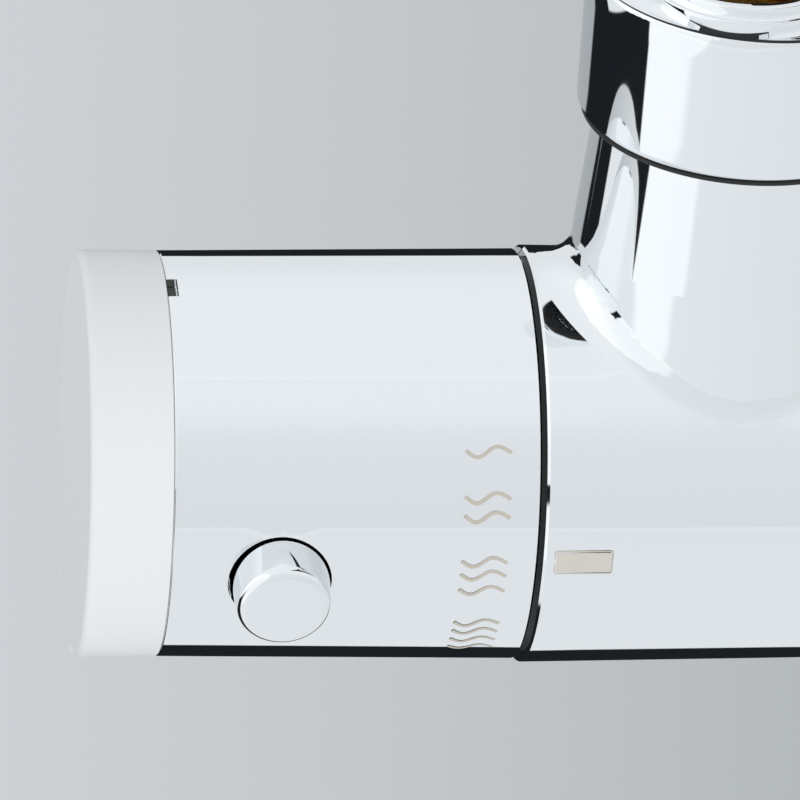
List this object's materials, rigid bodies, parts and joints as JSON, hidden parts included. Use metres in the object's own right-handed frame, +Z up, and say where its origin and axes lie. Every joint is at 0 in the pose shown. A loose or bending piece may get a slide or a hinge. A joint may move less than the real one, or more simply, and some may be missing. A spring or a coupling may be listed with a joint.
{
  "type": "thermostatic shower valve",
  "caption": "Chrome bar shower valve with a thermostatic temperature handle, safety button, flow handle, wall unions and a hose outlet.",
  "frame": {"origin": "midway between the two wall inlets, on the plane of their mouths", "axes": "+X along the bar from the temperature handle to the flow handle, +Y towards the wall, +Z up"},
  "size_m": [0.2966, 0.0951, 0.0741],
  "materials": {
    "chrome_body": "polished chrome plate on cast brass",
    "chrome_union": "polished chrome plate",
    "chrome_sleeve": "polished chrome plate",
    "satin_cap": "satin silver lacquer on moulded plastic",
    "chrome_button": "polished chrome plate on plastic",
    "brass_turned": "turned brass",
    "chrome_nipple": "polished chrome plate",
    "steel_screw": "stainless steel",
    "spring_steel": "drawn stainless spring wire",
    "filter_mesh": "stainless woven mesh",
    "seal_rubber": "matt black rubber",
    "washer_rubber": "matt black rubber",
    "black_plastic": "matt black moulded plastic",
    "white_plastic": "matt white moulded plastic",
    "grey_plastic": "matt grey moulded plastic",
    "copper_capsule": "drawn copper capsule",
    "ceramic_white": "ground alumina ceramic"
  },
  "bodies": {
    "valve": {"valve_body": "chrome_body", "union_left": "chrome_union", "union_right": "chrome_union", "union_grub_screws": "steel_screw", "spigot_seals": "seal_rubber", "inlet_strainer_left": "filter_mesh", "inlet_strainer_right": "filter_mesh", "check_housing_left": "white_plastic", "check_housing_right": "white_plastic", "check_spring_left": "spring_steel", "check_spring_right": "spring_steel", "cartridge_housing": "grey_plastic", "cartridge_seals": "seal_rubber", "cartridge_filter": "filter_mesh", "cartridge_nut": "brass_turned", "return_spring": "spring_steel", "temperature_stop_ring": "black_plastic", "temperature_glide_ring": "black_plastic", "flow_glide_ring": "black_plastic", "disc_seat_washer": "washer_rubber", "headwork_body": "brass_turned", "headwork_seal": "seal_rubber", "fixed_ceramic_disc": "ceramic_white", "outlet_boss": "chrome_body", "outlet_washer": "washer_rubber", "outlet_nipple": "chrome_nipple"},
    "temperature_handle": {"temperature_sleeve": "chrome_sleeve", "temperature_end_cap": "satin_cap", "temperature_carrier": "white_plastic", "temperature_screw": "steel_screw", "temperature_spindle": "brass_turned", "button_guide": "grey_plastic", "button_spring": "spring_steel"},
    "button": {"safety_button": "chrome_button"},
    "thermostat_carriage": {"regulating_nut": "white_plastic", "overload_spring": "spring_steel", "wax_element": "copper_capsule", "shuttle": "white_plastic"},
    "flow_handle": {"flow_sleeve": "chrome_sleeve", "flow_end_cap": "satin_cap", "flow_carrier": "white_plastic", "flow_screw": "steel_screw", "flow_spindle": "brass_turned", "turning_ceramic_disc": "ceramic_white"},
    "check_left": {"check_poppet_left": "black_plastic"},
    "check_right": {"check_poppet_right": "black_plastic"}
  },
  "joints": [
    {"name": "temperature_turn", "type": "hinge", "parent": "valve", "child": "temperature_handle", "pos_m": [-0.1174, -0.0678, -0.0073], "axis": [1, 0, 0], "range_deg": [-42, 60]},
    {"name": "button_press", "type": "slide", "parent": "temperature_handle", "child": "button", "axis": [0, 0.1478, -0.989], "range_m": [0, 0.0022], "stiffness_N_per_m": 500, "springref_m": -0.003, "deforming": ["button_spring"]},
    {"name": "carriage_slide", "type": "slide", "parent": "valve", "child": "thermostat_carriage", "axis": [1, 0, 0], "range_m": [-0.00037, 0.00053], "deforming": ["return_spring"]},
    {"name": "flow_turn", "type": "hinge", "parent": "valve", "child": "flow_handle", "pos_m": [0.1174, -0.0678, -0.0073], "axis": [1, 0, 0], "range_deg": [0, 90]},
    {"name": "check_left_slide", "type": "slide", "parent": "valve", "child": "check_left", "axis": [0, -1, 0], "range_m": [0, 0.0025], "stiffness_N_per_m": 150, "springref_m": -0.003, "deforming": ["check_spring_left"]},
    {"name": "check_right_slide", "type": "slide", "parent": "valve", "child": "check_right", "axis": [0, -1, 0], "range_m": [0, 0.0025], "stiffness_N_per_m": 150, "springref_m": -0.003, "deforming": ["check_spring_right"]}
  ],
  "couplings": [
    {"joint": "carriage_slide", "follows": "temperature_turn", "m_per_rad": 0.0005}
  ]
}
